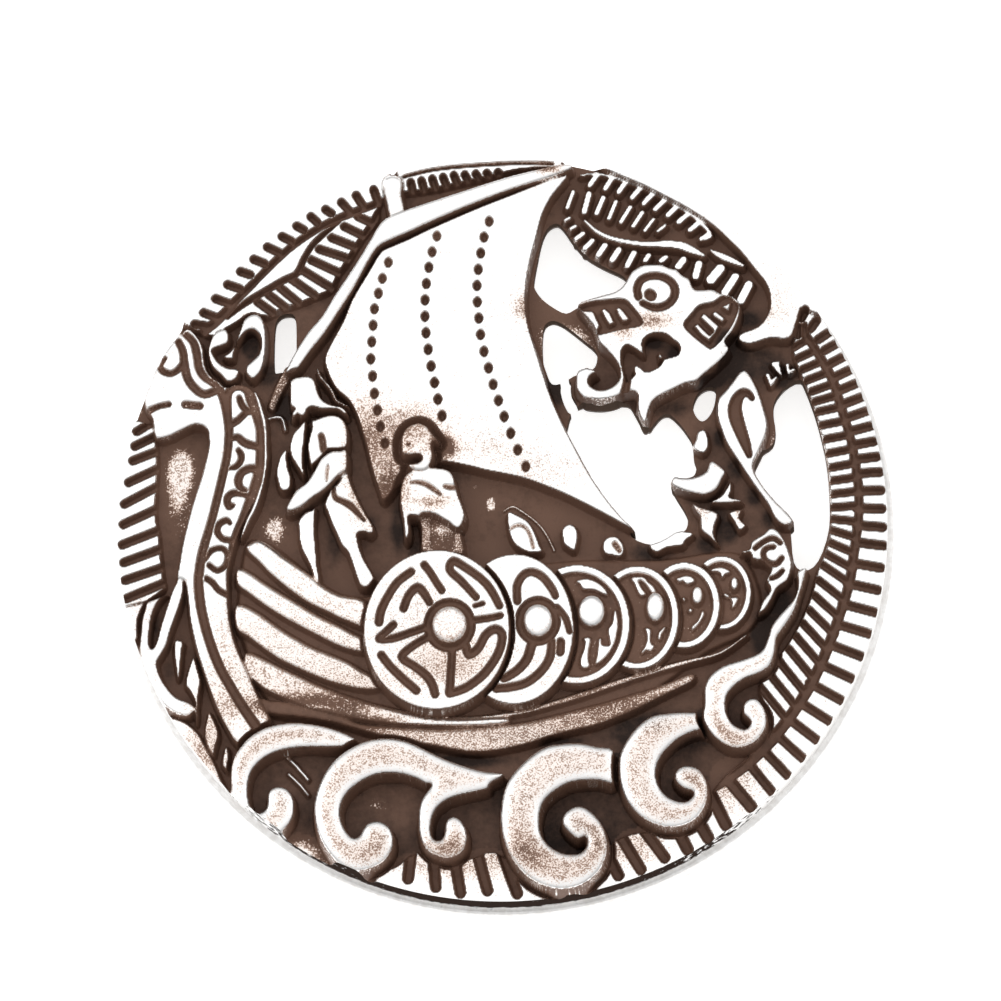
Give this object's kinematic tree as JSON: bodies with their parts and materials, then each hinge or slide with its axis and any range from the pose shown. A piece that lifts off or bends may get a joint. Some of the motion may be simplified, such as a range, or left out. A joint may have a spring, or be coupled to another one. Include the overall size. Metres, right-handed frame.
{
  "type": "viking ship disc brooch",
  "caption": "Round cast disc brooch of a dragon-prowed sailing ship over curling waves, pierced in places, with a plain pin in its hollow back.",
  "frame": {"origin": "on the plane the rim's foot rests on, below the middle of the disc", "axes": "+Z out of the face, +Y up the mast of the ship, +X towards the dragon's neck side (the viewer's right)"},
  "size_m": [0.045, 0.045, 0.0056],
  "materials": {
    "antiqued_silver": "cast silver-plated pewter, polished highs and dark brown antiqued recesses",
    "pin_steel": "plain drawn steel wire"
  },
  "bodies": {
    "root": {"plate": "antiqued_silver", "pin": "pin_steel"}
  },
  "joints": []
}
